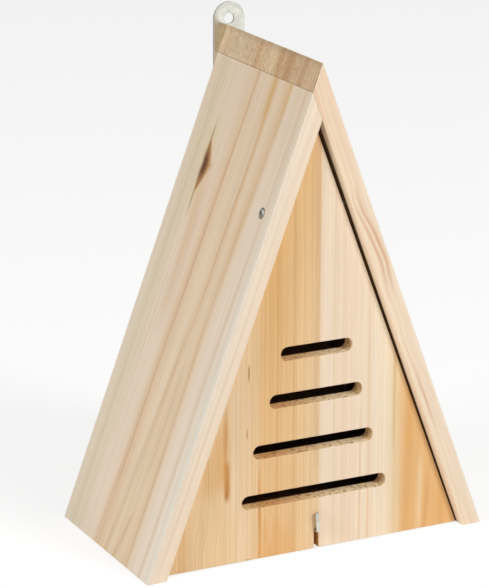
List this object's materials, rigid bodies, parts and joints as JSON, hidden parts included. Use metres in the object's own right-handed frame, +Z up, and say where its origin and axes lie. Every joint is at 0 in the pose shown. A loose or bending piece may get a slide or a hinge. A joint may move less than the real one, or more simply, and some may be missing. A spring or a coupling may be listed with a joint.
{
  "type": "ladybug house",
  "caption": "A-frame wooden house for ladybugs, with a slotted front door that swings out on two screws, a turning screw hook that keeps it shut, and a steel hanger plate behind the ridge.",
  "frame": {"origin": "on the ground under the ridge, halfway between the front and rear edges of the roof boards", "axes": "+X to the right as seen from the front, +Y to the rear, +Z up"},
  "size_m": [0.211, 0.1165, 0.2927],
  "materials": {
    "roof_wood": "planed, unpainted softwood with fine brown grain along the slope",
    "panel_wood": "planed, unpainted softwood",
    "door_heartwood": "planed, unpainted yellow-orange softwood with upright grain",
    "door_sapwood": "planed, unpainted pale softwood with upright grain",
    "hook_wire": "bright zinc-plated wire",
    "plate_steel": "bright zinc-plated sheet",
    "screw_steel": "grey zinc-plated",
    "brad_steel": "plain wire"
  },
  "bodies": {
    "house": {"left_roof_board": "roof_wood", "right_roof_board": "roof_wood", "back_panel": "panel_wood", "floor_panel": "panel_wood", "hanger_plate": "plate_steel", "hanger_screws": "screw_steel", "ridge_brads": "brad_steel", "side_brads": "brad_steel", "rear_brads": "brad_steel"},
    "door": {"door_left_stave": "door_heartwood", "door_right_stave": "door_sapwood", "left_pivot_screw": "screw_steel", "right_pivot_screw": "screw_steel"},
    "latch": {"latch_hook": "hook_wire"}
  },
  "joints": [
    {"name": "door_swing", "type": "hinge", "parent": "house", "child": "door", "pos_m": [0, -0.0465, 0.1982], "axis": [-1, 0, 0], "range_deg": [0, 30]},
    {"name": "latch_turn", "type": "hinge", "parent": "house", "child": "latch", "pos_m": [0.0014, -0.045, 0.0116], "axis": [0, -1, 0], "range_deg": [0, 180]}
  ]
}
